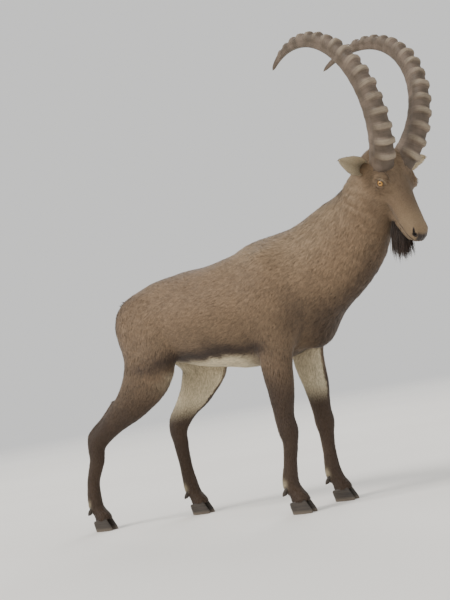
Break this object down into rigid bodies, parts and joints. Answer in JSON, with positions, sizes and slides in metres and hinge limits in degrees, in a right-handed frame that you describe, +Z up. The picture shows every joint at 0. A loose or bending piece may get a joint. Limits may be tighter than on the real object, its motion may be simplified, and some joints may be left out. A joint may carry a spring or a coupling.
{
  "type": "alpine ibex",
  "caption": "Life-size standing male alpine ibex, head turned, with long knotted scimitar horns, a chin beard and cloven hooves.",
  "frame": {"origin": "centre of the animal's bounding box, on the floor between its hooves", "axes": "+X forward along the trunk, +Y to the animal's left, +Z up"},
  "size_m": [1.5056, 0.4103, 1.4973],
  "materials": {
    "coat": "short grey-brown fur",
    "dark_coat": "short dark brown fur",
    "beard": "long coarse dark hair",
    "horn": "dry knotted horn",
    "hoof": "worn dark hoof",
    "eye": "wet amber eye"
  },
  "bodies": {
    "root": {"head": "coat", "neck": "coat", "chest": "coat", "barrel": "coat", "rump": "coat", "ear_left": "coat", "horn_left": "horn", "eye_left": "eye", "forearm_left": "coat", "fore_cannon_left": "dark_coat", "pastern_fore_left": "dark_coat", "thigh_left": "coat", "shin_left": "coat", "hind_cannon_left": "dark_coat", "pastern_hind_left": "dark_coat", "claw_fore_left_inner": "hoof", "claw_fore_left_outer": "hoof", "claw_hind_left_inner": "hoof", "claw_hind_left_outer": "hoof", "ear_right": "coat", "horn_right": "horn", "eye_right": "eye", "forearm_right": "coat", "fore_cannon_right": "dark_coat", "pastern_fore_right": "dark_coat", "thigh_right": "coat", "shin_right": "coat", "hind_cannon_right": "dark_coat", "pastern_hind_right": "dark_coat", "claw_fore_right_inner": "hoof", "claw_fore_right_outer": "hoof", "claw_hind_right_inner": "hoof", "claw_hind_right_outer": "hoof", "tail": "dark_coat", "beard": "beard"}
  },
  "joints": []
}
